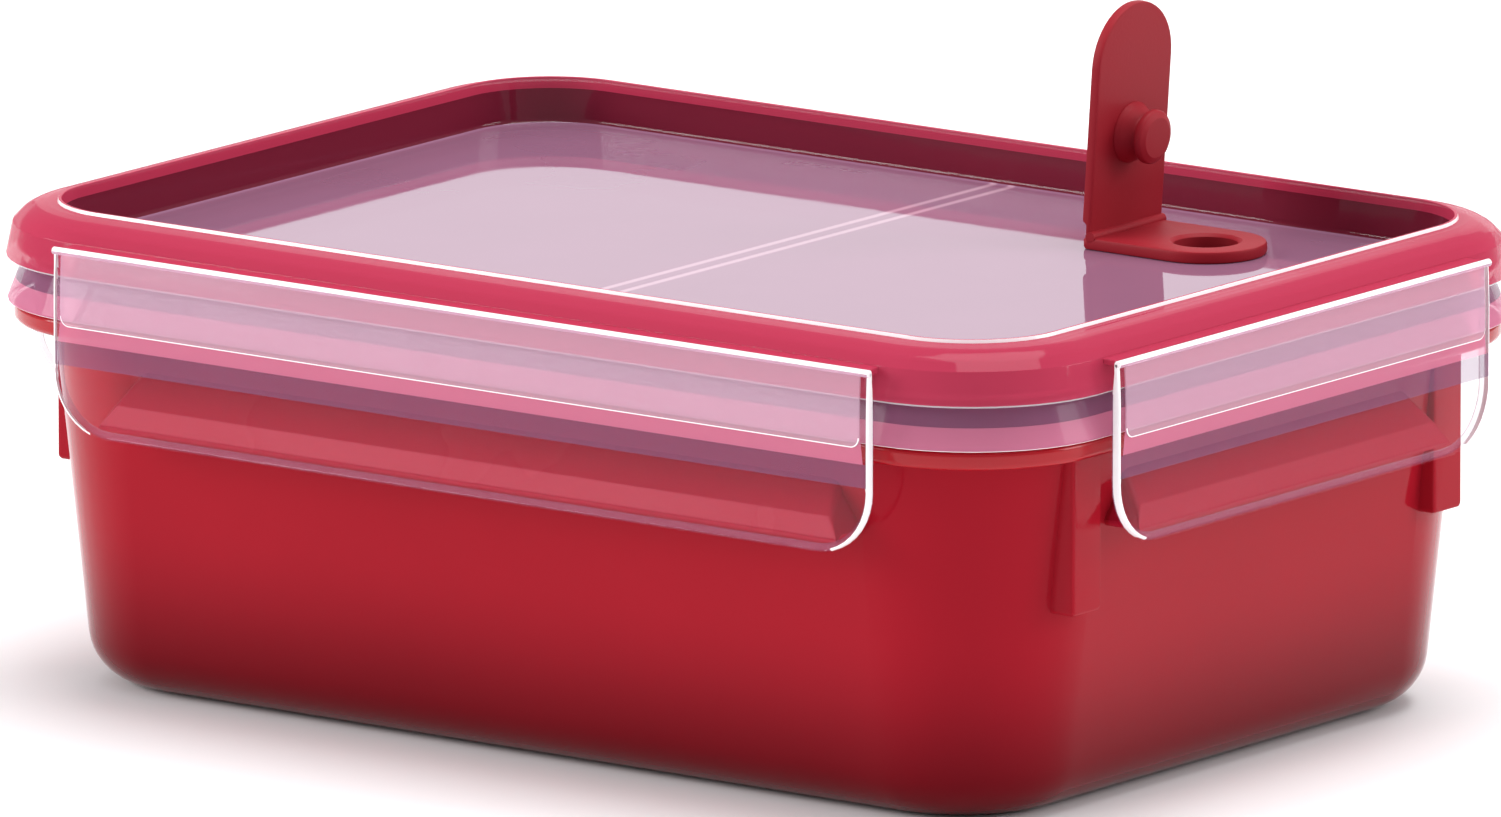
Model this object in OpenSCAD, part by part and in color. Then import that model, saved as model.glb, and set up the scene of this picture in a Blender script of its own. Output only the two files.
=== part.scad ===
// Clip-lid food box: moulded tub, clear lid with a red seal, four hinged clips,
// a steam vent with a plug on a flap, and two lift-out inserts.
// X runs along the length, Y to the rear, Z up. The origin is the middle of the base.

/* [Lid] */
// Length of the recess in the lid, measured at its top edge
recess_l = 200; // [170:1:240]
// Width of the recess in the lid, measured at its top edge
recess_w = 140; // [120:1:170]
// Corner radius of the recess
recess_r = 16.4; // [14.5:0.1:20]
// Depth of the recess
recess_d = 7.8; // [6.5:0.1:8.2]
// Thickness of the lid's clear walls
lid_t = 1.6; // [1.2:0.1:1.8]

/* [Tub] */
// Height of the closed box up to the top edge of the lid's recess
box_h = 82; // [72:1:110]
// Corner radius of the tub where it meets the plan of the recess
tub_r = 24; // [20:0.5:27]
// Slope of the tub's walls
tub_draft = 6; // [2:0.5:7]
// Wall thickness of the tub
tub_t = 2; // [1.6:0.1:2.2]
// Radius between the tub's walls and its base
base_fillet = 9.5; // [6:0.5:11]

/* [Clips] */
// Half length of the front and rear clips
long_clip = 84; // [70:1:84]
// Half length of the left and right clips
short_clip = 52; // [42:1:53]
// Height of a clip from its hinge to its lower edge
clip_h = 30.9; // [28:0.1:34]
// Thickness of a clip's sheet
clip_t = 1.3; // [1:0.1:1.4]
// Radius of a clip's lower corners
clip_r = 11; // [8:0.5:14]

/* [Vent] */
// Place of the vent hole along X
vent_x = 60; // [-60:1:70]
// Place of the vent hole along Y
vent_y = 44; // [-45:1:50]
// Radius of the vent hole
vent_bore_r = 5.4; // [5:0.1:5.8]
// Width of the vent's pad and flap
vent_w = 20.4; // [19:0.1:24]
// Length of the vent's flap from its hinge
flap_l = 38.6; // [30:0.1:42]
// Angle at which the vent's flap stands open
flap_open = 86; // [0:1:120]

/* [Inserts] */
// Wall thickness of the inserts
insert_t = 1.3; // [1:0.1:1.6]
// Gap between the two inserts
insert_gap = 1.2; // [0.8:0.1:3]

/* [Hidden] */
$fn = 64;

half_l = recess_l / 2;
half_w = recess_w / 2;
core = 12;                          // how far a swept section reaches in from the plan's edge
eps = 0.05;                         // gap between pieces that touch

// Levels, upwards from the base
crease_z = box_h - 3.8;             // edge between the rim's top and its lip
lip_z = box_h - 9.7;                // lower edge of the rim's lip
skirt_z = box_h - 17;               // lower edge of the lid's skirt
panel_z = box_h - recess_d;         // top of the lid's panel
panel_under_z = panel_z - lid_t;
flange_top_z = skirt_z - 0.1;
flange_t = 3.3;
flange_z = flange_top_z - flange_t;
wall_top_z = lip_z + 0.1;           // top of the tub's wall, just under the seal

// Distances outwards from the recess edge
crease_w = 8.2;
lip_w = 9.4;
skirt_top_w = 6.4;
skirt_w = 9.2;
flange_w = 8;
rim_in_w = 2.4;                     // inside of the tub's upright rim
rim_out_w = 4.6;                    // outside of the tub's upright rim
base_w = -2;                        // tub wall at the base, if it had no fillet
rise = tan(tub_draft);

// Ledges that the clips hold
ledge_top_z = box_h - 24.8;
ledge_crease_z = box_h - 29.9;
ledge_tip_z = box_h - 33.4;
ledge_under_z = box_h - 33.9;
ledge_crease_w = 8.7;
ledge_tip_w = 10.3;
ledge_slant = 3.5;                    // how much longer a ledge is at its tip than at its top
long_ledge = long_clip - 8;
short_ledge = short_clip - 8.5;

// Clips: each turns on a round bead along its top edge
clip_w = 12.6;                      // outer face of a clip
bead_r = clip_t / 2;
hinge_w = clip_w - bead_r;
hinge_z = crease_z - bead_r;
bead_gap = 0.08;
sheet_gap = 0.2;                    // between a clip's sheet and the web that carries it
hook_w = ledge_tip_w + 0.4;         // inner edge of a clip's rim
clip_wall = 1.3;                    // width of the rim round a clip

// Stacking ribs at the ends of the short sides
rib_x = half_l + 5;
rib_y = half_w - 15.5;
rib_l = 8;
rib_z = box_h - 47;
rib_depth = 12;

// Vent
pad_t = 2;
pad_top_z = panel_z + eps + pad_t;
vent_reach = 16.4;                  // from the vent's hinge to its hole
flap_t = 1.8;
vent_hinge_x = vent_x - vent_reach;
vent_hinge_z = pad_top_z + 0.1;
vent_bead_r = 0.9;
flap_foot = 2.2;                    // where the flap reaches its full thickness
flap_neck = 0.8;
collar_r = 7.2;
collar_lip_r = 9;
collar_lip_t = 1.2;
plug_base_r = 5.2;
plug_neck_r = 3.3;
plug_head_r = 4.6;
plug_l = 5.4;

// Inserts
insert_top_z = panel_under_z - 0.5;
insert_floor_z = tub_t + 0.4;
insert_w = 1.5;                     // outside of an insert's upright rim
insert_bend_z = flange_z - 2;
insert_play = 0.9;                  // play between an insert and the tub's wall

clear_pink = [0.90, 0.76, 0.84, 0.6];
tub_red = [0.68, 0.13, 0.19];
seal_red = [0.80, 0.24, 0.34];
vent_red = [0.75, 0.17, 0.22];
insert_white = [0.92, 0.86, 0.91, 0.7];

// Rounded rectangle with half sizes a and b and corner radius r
module plan(a, b, r) {
    square([2 * a, 2 * (b - r)], center = true);
    square([2 * (a - r), 2 * b], center = true);
    for (sx = [-1, 1], sy = [-1, 1])
        translate([sx * (a - r), sy * (b - r)]) circle(r);
}

// Sweeps its child, a section in distance and height, round a rounded rectangle
module ring(a, b, r) {
    for (turn = [0, 180]) {
        rotate(turn) translate([a, b - r, 0]) rotate([90, 0, 0])
            linear_extrude(2 * (b - r)) children();
        rotate(turn + 90) translate([b, a - r, 0]) rotate([90, 0, 0])
            linear_extrude(2 * (a - r)) children();
        rotate(turn) translate([a - r, b - r, 0])
            rotate_extrude(angle = 90) translate([r, 0]) children();
        rotate(turn + 90) translate([b - r, a - r, 0])
            rotate_extrude(angle = 90) translate([r, 0]) children();
    }
}

// Solid block whose outer outline, in distance and height, goes from bottom to top
module block(r, outline) {
    low = outline[0][1];
    high = outline[len(outline) - 1][1];
    ring(half_l, half_w, r)
        polygon(concat([[-core, low]], outline, [[-core, high]]));
    translate([0, 0, low]) linear_extrude(high - low)
        plan(half_l - core + eps, half_w - core + eps, r - core + eps);
}

// Slab of the given edge distance between two levels
module slab(r, w, low, high) {
    translate([0, 0, low]) linear_extrude(high - low) plan(half_l + w, half_w + w, r + w);
}

function wall_w(z, inset) = base_w - inset + rise * z;

// Fillet from a flat base at height low to a sloping wall set in by inset
function fillet(radius, low, inset, steps) =
    let (lean = tub_draft,
         centre_z = low + radius,
         centre_w = wall_w(centre_z, inset) - radius / cos(lean))
    [for (i = [0:steps])
        let (a = -90 + (90 - lean) * i / steps)
        [centre_w + radius * cos(a), centre_z + radius * sin(a)]];

// Places its child, made for the +X side, on one side of the box
module on_side(side) {
    rotate(side == "right" ? 0 : side == "rear" ? 90 : side == "left" ? 180 : 270) children();
}

function edge(long) = long ? half_w : half_l;

// Red ramp that a clip's hook goes under, made for the +X side
module ledge(long) {
    half = long ? long_ledge : short_ledge;
    x0 = edge(long);
    inner_w = wall_w(ledge_under_z, tub_t / 2);
    intersection() {
        translate([x0, half, 0]) rotate([90, 0, 0]) linear_extrude(2 * half)
            polygon([[inner_w, ledge_under_z], [ledge_tip_w, ledge_under_z],
                     [ledge_tip_w, ledge_tip_z], [ledge_crease_w, ledge_crease_z],
                     [wall_w(ledge_top_z, 0), ledge_top_z], [inner_w, ledge_top_z]]);
        rotate([90, 0, 90]) linear_extrude(x0 + clip_w)
            polygon([[-half, ledge_under_z], [half, ledge_under_z], [half, ledge_tip_z],
                     [half - ledge_slant, ledge_top_z], [ledge_slant - half, ledge_top_z],
                     [-half, ledge_tip_z]]);
    }
}

module rib(sy) {
    translate([rib_x - rib_depth, sy > 0 ? rib_y - rib_l : -rib_y, rib_z])
        cube([rib_depth, rib_l, flange_z - rib_z + 1]);
}

module container() color(tub_red) {
    difference() {
        union() {
            block(tub_r, concat(fillet(base_fillet, 0, 0, 8),
                                [[wall_w(flange_z + 1, 0), flange_z + 1]]));
            slab(recess_r, flange_w, flange_z, flange_top_z);
            slab(recess_r, rim_out_w, flange_z, wall_top_z);
            for (side = ["left", "right"]) on_side(side) ledge(false);
            for (side = ["front", "rear"]) on_side(side) ledge(true);
            for (side = ["left", "right"], sy = [-1, 1]) on_side(side) rib(sy);
        }
        block(tub_r, concat(fillet(base_fillet - tub_t, tub_t, tub_t, 8),
                            [[rim_in_w, flange_z + 1], [rim_in_w, flange_top_z]]));
        slab(recess_r, rim_in_w, flange_top_z - eps, wall_top_z + 1);
    }
}

// Web that carries a clip's hinge, made for the +X side
module hinge_web(long) {
    half = (long ? long_clip : short_clip) - 1;
    x0 = edge(long);
    difference() {
        translate([x0 + crease_w - 0.6, -half, crease_z - 2 * bead_r])
            cube([hinge_w - crease_w + 0.6, 2 * half, 2 * bead_r]);
        translate([x0 + hinge_w, half + 1, hinge_z]) rotate([90, 0, 0])
            cylinder(h = 2 * half + 2, r = bead_r + bead_gap);
        translate([x0 + clip_w - clip_t - sheet_gap, -half - 1, hinge_z - 2])
            cube([2, 2 * half + 2, 2]);
    }
}

// Section of the lid's rim: top, lip, stepped skirt and the channel for the seal
lid_section = [
    [0, box_h], [2.4, box_h - 0.1], [4.6, box_h - 0.8], [6.6, box_h - 2.1],
    [crease_w, crease_z], [lip_w, lip_z], [skirt_top_w, lip_z], [skirt_w, skirt_z],
    [skirt_w - 1.4, skirt_z], [5.1, lip_z - 0.2], [5.1, lip_z + 1.4], [7.6, lip_z + 1.4],
    [7, box_h - 4.3], [5.8, box_h - 2.7], [4.1, box_h - 1.6], [2.3, box_h - 1],
    [lid_t, box_h - 1], [lid_t - 1, panel_under_z], [-1, panel_under_z], [-1, panel_z]];

module lid() color(clear_pink) {
    difference() {
        union() {
            ring(half_l, half_w, recess_r) polygon(lid_section);
            slab(recess_r, 0, panel_under_z, panel_z);
            for (side = ["left", "right"]) on_side(side) hinge_web(false);
            for (side = ["front", "rear"]) on_side(side) hinge_web(true);
        }
        translate([vent_x, vent_y, panel_under_z - 1])
            cylinder(h = lid_t + 2, r = collar_r + eps);
    }
}

module lid_seal() color(seal_red) {
    ring(half_l, half_w, recess_r)
        polygon([[1.8, box_h - 1.3], [2.3, box_h - 1.2], [4, box_h - 1.8], [5.6, box_h - 2.9],
                 [6.8, box_h - 4.5], [7.3, lip_z + 1.6], [4.9, lip_z + 1.6],
                 [4.9, lip_z + 0.3], [0.9, lip_z + 0.4]]);
}

// Outline of a clip: square at the hinge, round at the lower corners
module clip_face(half, inset) {
    low = hinge_z - clip_h + inset;
    wide = half - inset;
    r = clip_r - inset;
    translate([-wide, low + r]) square([2 * wide, hinge_z - low - r]);
    translate([r - wide, low]) square([2 * (wide - r), r + eps]);
    for (s = [-1, 1]) translate([s * (wide - r), low + r]) circle(r);
}

// Clear clip, made for the +X side: sheet, rim with the hook, and hinge bead
module clip(long) {
    half = long ? long_clip : short_clip;
    x0 = edge(long);
    translate([x0 + clip_w - clip_t, 0, 0]) rotate([90, 0, 90])
        linear_extrude(clip_t) clip_face(half, 0);
    translate([x0 + hook_w, 0, 0]) rotate([90, 0, 90])
        linear_extrude(clip_w - hook_w - eps) difference() {
            clip_face(half, 0);
            clip_face(half, clip_wall);
            translate([-half, hinge_z - 2 * bead_r]) square([2 * half, 3 * bead_r]);
        }
    translate([x0 + hinge_w, half, hinge_z]) rotate([90, 0, 0])
        cylinder(h = 2 * half, r = bead_r);
}

module front_clip() color(clear_pink) on_side("front") clip(true);
module rear_clip() color(clear_pink) on_side("rear") clip(true);
module left_clip() color(clear_pink) on_side("left") clip(false);
module right_clip() color(clear_pink) on_side("right") clip(false);

// Tongue with one round end, from x = back to the round end's centre
module tongue(back, centre, r) {
    translate([back, -r]) square([centre - back, 2 * r]);
    translate([centre, 0]) circle(r);
}

module vent_pad() color(vent_red) {
    translate([vent_x, vent_y, 0]) difference() {
        union() {
            translate([0, 0, panel_z + eps]) linear_extrude(pad_t)
                tongue(-vent_reach - flap_t, 0, vent_w / 2);
            translate([0, 0, panel_under_z - eps])
                cylinder(h = panel_z - panel_under_z + 4 * eps, r = collar_r);
            translate([0, 0, panel_under_z - eps - collar_lip_t])
                cylinder(h = collar_lip_t, r = collar_lip_r);
        }
        translate([0, 0, panel_under_z - 3]) cylinder(h = 10, r = vent_bore_r);
        translate([0, 0, pad_top_z - 0.5])
            cylinder(h = 0.6, r1 = vent_bore_r - 0.05, r2 = vent_bore_r + 0.55);
        translate([-vent_reach, vent_w, vent_hinge_z]) rotate([90, 0, 0])
            cylinder(h = 2 * vent_w, r = vent_bead_r + bead_gap);
    }
}

// Vent flap lying closed with its hinge on the Y axis, plug downwards
module flat_flap() {
    intersection() {
        linear_extrude(flap_t) tongue(0, flap_l - vent_w / 2, vent_w / 2);
        translate([0, vent_w / 2, 0]) rotate([90, 0, 0]) linear_extrude(vent_w)
            polygon([[0, 0], [flap_l, 0], [flap_l, flap_t], [flap_foot, flap_t],
                     [flap_foot - 0.9, flap_neck], [0, flap_neck]]);
    }
    translate([0, vent_w / 2, 0]) rotate([90, 0, 0]) cylinder(h = vent_w, r = vent_bead_r);
    translate([vent_reach, 0, 0]) rotate_extrude()
        polygon([[0, eps], [plug_base_r, eps], [plug_base_r, -0.3], [plug_neck_r, -2.6],
                 [plug_neck_r, -3.3], [plug_head_r, -3.9], [plug_head_r, -4.7],
                 [plug_head_r - 1.1, -plug_l], [0, -plug_l]]);
}

module vent_flap() color(vent_red) {
    translate([vent_hinge_x, vent_y, vent_hinge_z]) rotate([0, -flap_open, 0]) flat_flap();
}

// Half of the space inside the tub, on the +X side, set in from the insert's outside by depth
module insert_block(depth, top) {
    low = insert_floor_z + depth;
    outline = concat(fillet(base_fillet - tub_t - depth, low, tub_t + insert_play + depth, 8),
                     [[insert_w - depth, insert_bend_z], [insert_w - depth, top]]);
    intersection() {
        block(tub_r, outline);
        translate([insert_gap / 2 + depth, -half_w - core, 0])
            cube([half_l + core, 2 * (half_w + core), box_h + core]);
    }
}

module insert_tray() {
    difference() {
        insert_block(0, insert_top_z);
        insert_block(insert_t, insert_top_z + 1);
    }
}

module right_insert() color(insert_white) insert_tray();
module left_insert() color(insert_white) rotate(180) insert_tray();

container();
lid();
lid_seal();
front_clip();
rear_clip();
left_clip();
right_clip();
vent_pad();
vent_flap();
left_insert();
right_insert();
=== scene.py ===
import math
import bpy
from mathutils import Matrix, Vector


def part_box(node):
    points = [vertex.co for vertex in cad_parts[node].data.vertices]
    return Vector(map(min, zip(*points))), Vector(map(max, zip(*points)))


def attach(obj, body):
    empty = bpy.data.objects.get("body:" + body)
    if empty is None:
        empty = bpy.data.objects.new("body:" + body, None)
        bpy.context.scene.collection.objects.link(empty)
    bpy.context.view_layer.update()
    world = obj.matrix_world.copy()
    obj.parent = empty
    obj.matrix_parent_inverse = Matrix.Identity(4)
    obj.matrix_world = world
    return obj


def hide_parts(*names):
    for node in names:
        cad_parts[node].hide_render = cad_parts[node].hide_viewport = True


bl_info = {
    "name": "Clip-lid food box",
    "version": (1, 0, 0),
    "blender": (4, 5, 0),
    "location": "3D View > Sidebar > Food box",
    "description": "Models a clip-lid food box round its CAD frame, piece by piece",
    "category": "Add Mesh",
}

import bmesh
import bpy
from bpy.props import FloatProperty, FloatVectorProperty, PointerProperty
from mathutils import Matrix, Vector

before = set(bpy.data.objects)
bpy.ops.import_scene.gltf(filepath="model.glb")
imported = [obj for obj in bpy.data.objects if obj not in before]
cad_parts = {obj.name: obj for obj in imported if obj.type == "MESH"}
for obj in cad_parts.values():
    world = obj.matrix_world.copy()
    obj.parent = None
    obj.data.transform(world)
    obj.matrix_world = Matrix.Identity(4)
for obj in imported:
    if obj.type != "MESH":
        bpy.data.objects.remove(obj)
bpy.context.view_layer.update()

MM = 0.001
QUADRANTS = ((1, 1), (-1, 1), (-1, -1), (1, -1))
SHADE_ANGLE = math.radians(34)

# Sizes in mm: distances (W) outwards from the edge of the lid's recess, heights (Z) and others
BASE_W = -2.0  # foot of the tub's walls
FLANGE_W, FLANGE_Z = 8.0, (61.6, 64.9)
RIM_W, RIM_Z = (2.4, 4.6), 72.4  # upright rim inside the seal
LEDGE_TIP_W, LEDGE_Z = 10.3, (48.1, 48.6, 52.1, 57.2)
RIB_Y, RIB_Z = (46.5, 54.5), (35, 63)
LIP_Z = 72.3  # underside of the lid's lip
SKIRT_Z = (65.0, 68.8)  # foot of the skirt, and where its painted shade begins
SEAL_BED_Z = 73.7
CREASE_W, CREASE_DROP = 8.2, 3.8  # where the lip turns down, and its depth below the top
CREST_DROP = 0.55  # height of the crest round the recess over the lip
BRIM_DROP = 1.9  # height of the recess's wall that gets painted light from the seal behind it
CLIP_W = 12.6  # outer face of a closed clip
HOOK_W = 10.7  # inner face of its thick rim
BEAD_R = 0.65  # bead that a clip turns on
INSERT_RIM_X = 1.9  # how far the middle rims of the inserts show from the middle
CLOUD = 38  # size of the slow changes of tone and gloss in moulded plastic


def linear(code):
    """Linear red, green and blue of an sRGB colour written as six hex digits."""
    parts = [int(code[i : i + 2], 16) / 255 for i in (0, 2, 4)]
    return [c / 12.92 if c <= 0.04045 else ((c + 0.055) / 1.055) ** 2.4 for c in parts]


def length(name, description, default, low=0.0):
    """A length that the sidebar shows in the scene's units."""
    return FloatProperty(name=name, description=description, default=default, min=low,
                         subtype="DISTANCE", unit="LENGTH", precision=4)


def colour(name, description, code):
    return FloatVectorProperty(name=name, description=description, default=linear(code), size=3,
                               min=0.0, max=1.0, subtype="COLOR")


class FoodBoxSizes(bpy.types.PropertyGroup):
    """Driving sizes of the box, taken from the frame where it has them."""

    half_length: length("Half length", "Half the length of the lid's recess",
                        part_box("container")[1].x - LEDGE_TIP_W * MM)
    half_width: length("Half width", "Half the width of the lid's recess",
                       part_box("container")[1].y - LEDGE_TIP_W * MM)
    height: length("Height", "Height of the closed box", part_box("lid")[1].z)
    recess_radius: length("Recess radius", "Corner radius of the lid's recess", 16.4 * MM)
    recess_depth: length("Recess depth", "Depth of the lid's recess", 7.8 * MM)
    body_radius: length("Tub radius", "Corner radius of the tub in the plan of the recess",
                        24 * MM)
    draft: FloatProperty(name="Draft", description="Slope of the tub's walls",
                         default=math.radians(6), subtype="ANGLE", unit="ROTATION")
    wall: length("Wall", "Wall thickness of the tub", 2 * MM)
    lid_wall: length("Lid wall", "Wall thickness of the lid", 1.6 * MM)
    base_fillet: length("Base fillet", "Radius between the tub's walls and its base", 9.5 * MM)
    insert_wall: length("Insert wall", "Wall thickness of the inserts", 1.3 * MM)


class FoodBoxClips(bpy.types.PropertyGroup):
    """Sizes of the four clips."""

    long_half: length("Long half", "Half the length of the front and rear clips",
                      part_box("front_clip")[1].x)
    short_half: length("Short half", "Half the length of the left and right clips",
                       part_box("right_clip")[1].y)
    drop: length("Drop", "Height of a clip from its hinge to its lower edge", 30.9 * MM)
    radius: length("Radius", "Radius of a clip's lower corners", 11 * MM)
    sheet: length("Sheet", "Thickness of a clip's sheet", 1.3 * MM)
    rim: length("Rim", "Width of the thick rim round a clip", 1.3 * MM)


class FoodBoxVent(bpy.types.PropertyGroup):
    """Sizes of the steam vent."""

    x: length("Hole X", "Place of the vent hole along the box", 60 * MM)
    y: length("Hole Y", "Place of the vent hole across the box", 44 * MM)
    bore: length("Bore", "Radius of the vent hole", 5.4 * MM)
    width: length("Width", "Width of the pad and the flap", 20.4 * MM)
    reach: length("Reach", "Distance from the fold to the hole", 16.4 * MM)
    flap: length("Flap", "Length of the flap", 38.6 * MM)
    open: FloatProperty(name="Open", description="Angle at which the flap stands open",
                        default=math.radians(86), subtype="ANGLE", unit="ROTATION")


class FoodBoxColours(bpy.types.PropertyGroup):
    """Base colours of the finishes."""

    tub: colour("Tub", "Red polypropylene of the tub", "9E1725")
    seal: colour("Seal", "Red silicone of the lid's seal", "AE2440")
    vent: colour("Vent", "Red silicone of the vent", "991A27")
    clear: colour("Clear", "Clear plastic of the lid and clips", "E4587E")
    milky: colour("Milky", "Milky part of a clip", "F8CCE4")
    # Painted shade: a dark mauve red for the wall of the recess
    recess: colour("Recess", "Wall of the lid's recess", "6E2036")
    # Painted light: a brighter, pinker red than the tub, for the ledges lit through the clips
    ledge: colour("Ledge", "Ledges of the tub, lit through the clips", "AA1931")
    # Painted glow: a brighter red for the edge of the flange
    flange: colour("Flange", "Edge of the tub's flange, where light comes out", "A80E1B")
    # Painted light: pink for the lit flange seen through the skirt and below a clip's panel
    skirt: colour("Skirt", "Lower part of the lid's skirt", "E084A4")
    # Painted shade: dark mauve under the lid's lip and over a ledge
    band: colour("Band", "Upper part of the lid's skirt, and the shade above a ledge", "7E587A")
    # Painted shade: mauve for the light bent in a clip's thick hook
    hook: colour("Hook", "Hook round a clip", "A06E94")
    panel: colour("Panel", "Milky panel of the lid", "9B6C88")
    # Painted light: a lighter red for the lit seal behind the plastic
    brim: colour("Brim", "Top of the recess's wall, with the lit seal behind it", "C43C59")
    # Painted light: pale lines for the lit rims of the inserts under the panel
    line: colour("Line", "Rims of the inserts showing through the panel", "F0C4D6")
    # Painted highlight: near-white for the edges of clear plastic and the lip of the lid
    edge: colour("Edge", "Edges of clear plastic, where light comes out", "FFFAFC")
    insert: colour("Insert", "Milky polypropylene of the inserts", "EADDE8")
    floor: colour("Floor", "Studio floor", "FAFAFA")


def sizes():
    return bpy.context.scene.food_box_sizes


def colours():
    return bpy.context.scene.food_box_colours


# ---- Outlines and sections, in mm ----


def outline(low, high, radii):
    """Centre and radius of each corner of a rounded rectangle, in the order of QUADRANTS."""
    radii = radii if isinstance(radii, tuple) else (radii,) * 4
    return [((high[0] - r if sx > 0 else low[0] + r, high[1] - r if sy > 0 else low[1] + r), r)
            for (sx, sy), r in zip(QUADRANTS, radii)]


def circle(x, y, radius):
    return outline((x - radius, y - radius), (x + radius, y + radius), radius)


def plan(w, corner):
    """The recess outline grown by w, with its corners in the family of the given radius."""
    a, b = sizes().half_length / MM + w, sizes().half_width / MM + w
    return outline((-a, -b), (a, b), corner / MM + w)


def rounded(points, steps=4):
    """An open section whose points may carry a radius, with those corners made round."""
    section = [tuple(points[0][:2])]
    for before, here, after in zip(points, points[1:], points[2:]):
        if len(here) == 2:
            section.append(tuple(here))
            continue
        corner = Vector(here[:2])
        a = (Vector(before[:2]) - corner).normalized()
        b = (Vector(after[:2]) - corner).normalized()
        half = a.angle(b) / 2
        centre = corner + (a + b).normalized() * here[2] / math.sin(half)
        start = corner + a * here[2] / math.tan(half) - centre
        turn = (corner + b * here[2] / math.tan(half) - centre).angle_signed(start)
        for i in range(steps + 1):
            point = start.copy()
            point.rotate(Matrix.Rotation(turn * i / steps, 2))
            section.append(tuple(centre + point))
    section.append(tuple(points[-1][:2]))
    return section


def arc(centre, radius, start, end, steps):
    """Points on an arc, with angles in degrees."""
    angles = [math.radians(start + (end - start) * i / steps) for i in range(steps + 1)]
    return [(centre[0] + radius * math.cos(a), centre[1] + radius * math.sin(a)) for a in angles]


# ---- Modelling with the mesh tools ----


def deselect():
    if bpy.context.object and bpy.context.object.mode != "OBJECT":
        bpy.ops.object.mode_set(mode="OBJECT")
    bpy.ops.object.select_all(action="DESELECT")


def pick(mesh, wanted):
    """Selects the vertices that a test accepts, and no others."""
    shape = bmesh.from_edit_mesh(mesh)
    for v in shape.verts:
        v.select = bool(wanted(v))
    shape.select_flush_mode()
    bmesh.update_edit_mesh(mesh)


def reshape(mesh, loop, old, new):
    """Moves each corner of a loop of vertices from its old centre and radius to the new ones."""
    for k, (((x0, y0), r0), ((x1, y1), r1)) in enumerate(zip(old, new)):
        grow = r1 / r0
        shift = Vector((x1 - x0, y1 - y0, 0)) * MM
        if abs(grow - 1) < 1e-7 and shift.length < 1e-9:
            continue
        corner = bmesh.from_edit_mesh(mesh).verts.layers.int["corner"]
        pick(mesh, lambda v: v.index in loop and v[corner] == k)
        if abs(grow - 1) >= 1e-7:
            bpy.ops.transform.resize(value=(grow, grow, 1), center_override=(x0 * MM, y0 * MM, 0))
        if shift.length >= 1e-9:
            bpy.ops.transform.translate(value=shift)


def loft(name, levels, steps=12, ring=False):
    """A closed solid through levels of (outline, height), or a ring that ends where it starts."""
    first, height = levels[0]
    span = min(first[0][0][0] - first[1][0][0], first[0][0][1] - first[3][0][1]) + 2 * first[0][1]
    half = span / 2
    begin = outline((-half, -half), (half, half), half / 2)
    deselect()
    bpy.ops.mesh.primitive_plane_add(size=span * MM, location=(0, 0, height * MM))
    piece = bpy.context.object
    piece.name = piece.data.name = name
    bpy.ops.object.transform_apply(location=True, rotation=True, scale=True)
    bpy.ops.object.mode_set(mode="EDIT")
    bpy.ops.mesh.select_all(action="SELECT")
    bpy.ops.mesh.bevel(offset=half / 2 * MM, segments=steps, affect="VERTICES")
    mesh = piece.data
    shape = bmesh.from_edit_mesh(mesh)
    corner = shape.verts.layers.int.new("corner")
    for v in shape.verts:
        v[corner] = QUADRANTS.index((1 if v.co.x > 0 else -1, 1 if v.co.y > 0 else -1))
    shape.verts.index_update()
    loop = {v.index for v in shape.verts}
    bmesh.update_edit_mesh(mesh)
    reshape(mesh, loop, begin, first)
    if ring:
        levels = levels + [levels[0]]
    for (old, low), (new, high) in zip(levels, levels[1:]):
        pick(mesh, lambda v: v.index in loop)
        bpy.ops.mesh.extrude_region_move(
            TRANSFORM_OT_translate={"value": (0, 0, (high - low) * MM)})
        shape = bmesh.from_edit_mesh(mesh)
        shape.verts.index_update()
        loop = {v.index for v in shape.verts if v.select}
        reshape(mesh, loop, old, new)
    shape = bmesh.from_edit_mesh(mesh)
    if ring:
        for face in shape.faces:
            face.select = len(face.verts) > 4
        bmesh.update_edit_mesh(mesh)
        bpy.ops.mesh.delete(type="ONLY_FACE")
    shape = bmesh.from_edit_mesh(mesh)
    shape.verts.layers.int.remove(shape.verts.layers.int["corner"])
    bmesh.update_edit_mesh(mesh)
    bpy.ops.mesh.select_all(action="SELECT")
    bpy.ops.mesh.remove_doubles(threshold=0.002 * MM)
    bpy.ops.mesh.dissolve_degenerate(threshold=0.001 * MM)
    bpy.ops.mesh.normals_make_consistent(inside=False)
    bpy.ops.object.mode_set(mode="OBJECT")
    return piece


def place(piece, matrix):
    """Turns and moves a piece, and keeps the result in its mesh."""
    deselect()
    piece.select_set(True)
    bpy.context.view_layer.objects.active = piece
    piece.matrix_world = matrix
    bpy.ops.object.transform_apply(location=True, rotation=True, scale=True)
    return piece


def join(pieces, name):
    deselect()
    for piece in pieces:
        piece.select_set(True)
    bpy.context.view_layer.objects.active = pieces[0]
    if len(pieces) > 1:
        bpy.ops.object.join()
    pieces[0].name = pieces[0].data.name = name
    return pieces[0]


def unite(piece, others, operation="UNION"):
    """Boolean of a piece with others, which are used up."""
    for other in others:
        deselect()
        piece.select_set(True)
        bpy.context.view_layer.objects.active = piece
        modifier = piece.modifiers.new("Unite", "BOOLEAN")
        modifier.operation = operation
        modifier.solver = "EXACT"
        modifier.object = other
        bpy.ops.object.modifier_apply(modifier=modifier.name)
        bpy.data.objects.remove(other)
    return piece


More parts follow.
